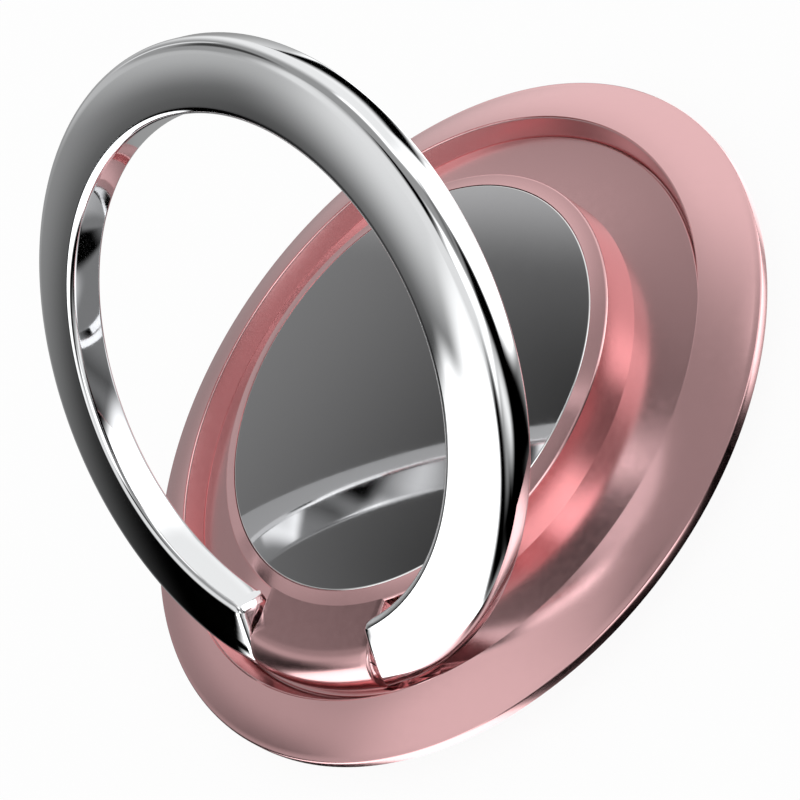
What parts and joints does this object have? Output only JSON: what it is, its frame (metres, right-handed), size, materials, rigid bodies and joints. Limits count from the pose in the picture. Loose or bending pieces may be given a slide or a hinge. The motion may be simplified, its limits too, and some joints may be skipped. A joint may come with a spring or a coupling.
{
  "type": "phone ring holder",
  "caption": "Round stick-on phone grip: a flanged base with a turning hub, a polished steel disc in its rim, and a split finger ring that folds down into the groove round the hub.",
  "frame": {"origin": "centre of the adhesive face, which lies on the phone", "axes": "+Z out of the phone along the base's axis, -Y towards the ring's hinge, X along the hinge pin"},
  "size_m": [0.04, 0.04, 0.0252],
  "materials": {
    "rose_gold": "rose gold plated zinc casting, satin gloss",
    "chrome_ring": "mirror polished chrome plate",
    "mirror_steel": "polished steel with a dark mirror face",
    "cover_steel": "stamped steel",
    "screw_steel": "zinc plated steel",
    "pin_steel": "ground steel",
    "spring_steel": "tempered spring steel",
    "hinge_bronze": "sintered bronze",
    "bearing_plastic": "greased white plastic",
    "adhesive": "white acrylic foam tape"
  },
  "bodies": {
    "base": {"adhesive_pad": "adhesive", "base_cover": "cover_steel", "cover_screws": "screw_steel", "base_flange": "rose_gold", "wave_washer": "spring_steel", "damping_ring": "bearing_plastic", "pivot_rivet": "screw_steel"},
    "hub": {"pivot_washer": "bearing_plastic", "pivot_bush": "bearing_plastic", "rotor_hub": "rose_gold", "plate_glue": "adhesive", "steel_plate": "mirror_steel", "hinge_bush_left": "hinge_bronze", "hinge_bush_right": "hinge_bronze", "hinge_washer_left": "bearing_plastic", "hinge_washer_right": "bearing_plastic"},
    "ring": {"finger_ring": "chrome_ring", "hinge_pin_left": "pin_steel", "hinge_pin_right": "pin_steel"}
  },
  "joints": [
    {"name": "hub_rotation", "type": "hinge", "parent": "base", "child": "hub", "pos_m": [0, 0, 0], "axis": [0, 0, 1], "continuous": true},
    {"name": "ring_fold", "type": "hinge", "parent": "hub", "child": "ring", "pos_m": [0, -0.01431, 0.00283], "axis": [1, 0, 0], "range_deg": [-45, 35]}
  ]
}
